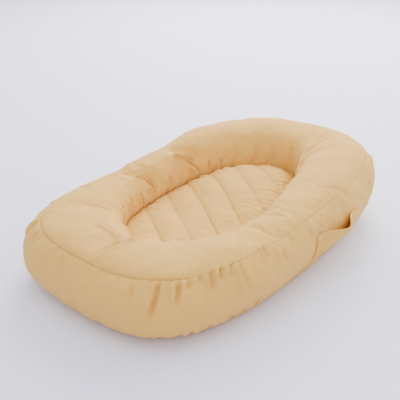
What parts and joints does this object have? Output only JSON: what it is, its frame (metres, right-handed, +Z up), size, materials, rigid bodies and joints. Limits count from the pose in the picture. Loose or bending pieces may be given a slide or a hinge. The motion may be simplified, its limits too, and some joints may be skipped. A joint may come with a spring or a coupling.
{
  "type": "baby lounger",
  "caption": "Oval baby lounger: a soft filled bolster ring round a sunken quilted floor, in a zip-off cotton cover with a carry strap on one side.",
  "frame": {"origin": "on the floor, under the middle of the whole lounger's box, carry strap included", "axes": "+X towards the head end (the taller bolster), -Y towards the long side with the carry strap, +Z up"},
  "size_m": [0.78, 0.5256, 0.156],
  "materials": {
    "cover_cotton": "matte",
    "casing_cotton": "matte",
    "baffle_cloth": "matte",
    "fibre_fill": "matte",
    "zip_tape": "matte",
    "zip_coil": "satin",
    "zip_metal": "satin",
    "label_cloth": "satin"
  },
  "bodies": {
    "lounger": {"rim_panel": "cover_cotton", "centre_panel": "cover_cotton", "side_band": "cover_cotton", "base_panel_near": "cover_cotton", "base_panel_far": "cover_cotton", "strap_end_foot": "cover_cotton", "strap_end_head": "cover_cotton", "insert_casing_top": "casing_cotton", "insert_casing_base": "casing_cotton", "pad_casing_top": "casing_cotton", "pad_casing_base": "casing_cotton", "baffle_head": "baffle_cloth", "baffle_head_far_corner": "baffle_cloth", "baffle_far_head": "baffle_cloth", "baffle_far_foot": "baffle_cloth", "baffle_foot_far_corner": "baffle_cloth", "baffle_foot": "baffle_cloth", "baffle_foot_near_corner": "baffle_cloth", "baffle_near_foot": "baffle_cloth", "baffle_near_head": "baffle_cloth", "baffle_head_near_corner": "baffle_cloth", "fill_head_far": "fibre_fill", "fill_far_head": "fibre_fill", "fill_far_middle": "fibre_fill", "fill_far_foot": "fibre_fill", "fill_foot_far": "fibre_fill", "fill_foot_near": "fibre_fill", "fill_near_foot": "fibre_fill", "fill_near_middle": "fibre_fill", "fill_near_head": "fibre_fill", "fill_head_near": "fibre_fill", "pad_fill": "fibre_fill", "zip_tape_near": "zip_tape", "zip_tape_far": "zip_tape", "zip_teeth_near": "zip_coil", "zip_teeth_far": "zip_coil", "zip_stop_foot": "zip_metal", "zip_stop_head": "zip_metal", "care_label": "label_cloth"},
    "slider": {"zip_slider": "zip_metal"},
    "pull": {"zip_pull": "zip_metal"},
    "strap": {"carry_strap": "cover_cotton"}
  },
  "joints": [
    {"name": "zip_slide", "type": "slide", "parent": "lounger", "child": "slider", "axis": [-1, 0, 0], "range_m": [0, 0.364]},
    {"name": "pull_swing", "type": "hinge", "parent": "slider", "child": "pull", "pos_m": [0.1824, 0.01624, 0.0065], "axis": [0, -1, 0], "range_deg": [0, 178]},
    {"name": "strap_lift", "type": "hinge", "parent": "lounger", "child": "strap", "pos_m": [0.05785, -0.2245, 0.09507], "axis": [-0.9982, -0.0525, -0.0274], "range_deg": [0, 60]}
  ]
}
